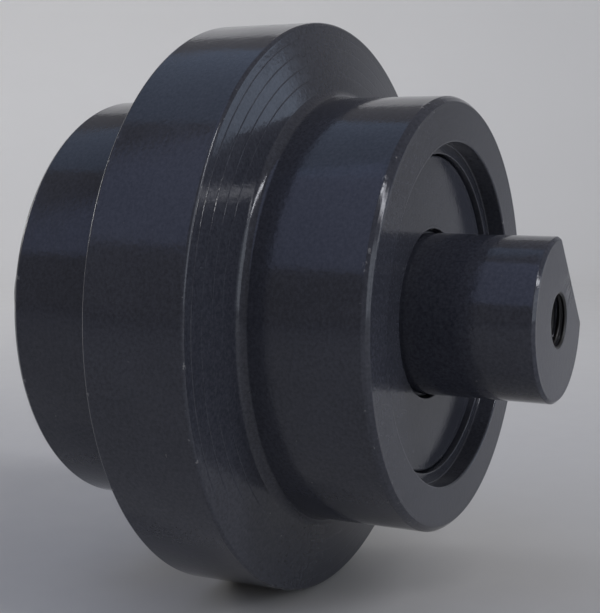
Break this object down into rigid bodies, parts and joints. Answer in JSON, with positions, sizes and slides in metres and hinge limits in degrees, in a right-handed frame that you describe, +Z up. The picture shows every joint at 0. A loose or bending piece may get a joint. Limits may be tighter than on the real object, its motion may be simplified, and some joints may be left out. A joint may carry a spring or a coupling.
{
  "type": "track roller",
  "caption": "Sealed track roller with a wide centre flange between plain treads, turning on a still shaft whose ends are flatted and tapped.",
  "frame": {"origin": "on the roller's axis at the middle of the flange", "axes": "+Y along the roller's axis towards its left end, +Z up, +X forward; the flats on the shaft ends face halfway between +X and +Z"},
  "size_m": [0.162, 0.165, 0.162],
  "materials": {
    "roller_paint": "gloss blue-black paint over turned steel, with orange peel",
    "shaft_paint": "gloss blue-black paint over a ground shaft",
    "collar_paint": "gloss blue-black paint over a faced collar",
    "seal_steel": "lapped alloy iron",
    "bush_bronze": "machined bearing bronze",
    "seal_rubber": "matt nitrile rubber",
    "ring_steel": "blackened spring steel"
  },
  "bodies": {
    "shaft_assembly": {"shaft": "shaft_paint", "oil_plug": "ring_steel", "left_collar": "collar_paint", "left_collar_o_ring": "seal_rubber", "left_lock_ring": "ring_steel", "left_static_seal_ring": "seal_steel", "left_static_toric": "seal_rubber", "right_collar": "collar_paint", "right_collar_o_ring": "seal_rubber", "right_lock_ring": "ring_steel", "right_static_seal_ring": "seal_steel", "right_static_toric": "seal_rubber"},
    "roller": {"roller_shell": "roller_paint", "left_bush": "bush_bronze", "left_thrust_washer": "bush_bronze", "left_rotating_seal_ring": "seal_steel", "left_rotating_toric": "seal_rubber", "right_bush": "bush_bronze", "right_thrust_washer": "bush_bronze", "right_rotating_seal_ring": "seal_steel", "right_rotating_toric": "seal_rubber"}
  },
  "joints": [
    {"name": "roller_spin", "type": "hinge", "parent": "shaft_assembly", "child": "roller", "pos_m": [0, 0, 0], "axis": [0, 1, 0], "continuous": true}
  ]
}
